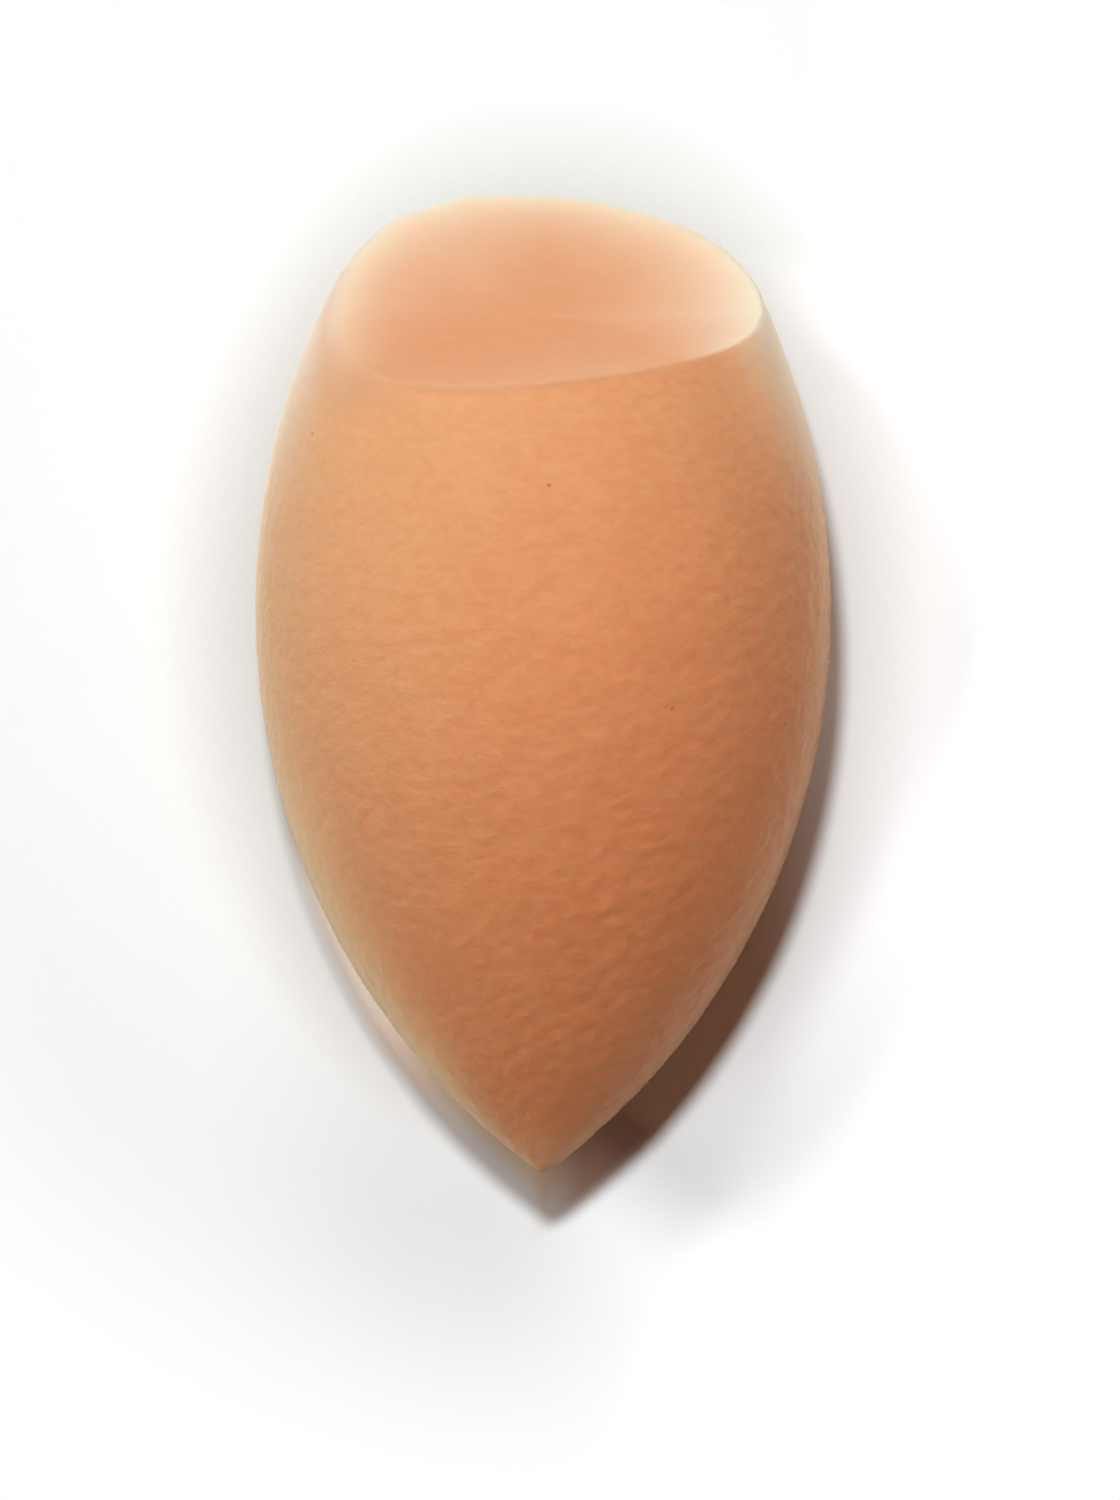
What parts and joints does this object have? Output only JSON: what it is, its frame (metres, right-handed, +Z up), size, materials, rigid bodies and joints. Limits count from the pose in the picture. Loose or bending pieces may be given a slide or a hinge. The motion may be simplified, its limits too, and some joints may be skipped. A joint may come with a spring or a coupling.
{
  "type": "makeup sponge",
  "caption": "Teardrop makeup sponge of soft foam with a pointed tip and a slightly hollow slanted face cut across its blunt end, lying on its side.",
  "frame": {"origin": "on the surface that the sponge lies on, under the centre of its widest part", "axes": "+Y along the round body's axis from the pointed tip towards the blunt end, +Z up, with the slanted face looking up and towards +Y"},
  "size_m": [0.0384, 0.0662, 0.038],
  "materials": {
    "moulded_skin": "matte",
    "foam_core": "matte"
  },
  "bodies": {
    "root": {"moulded_skin": "moulded_skin", "foam_core": "foam_core"}
  },
  "joints": []
}
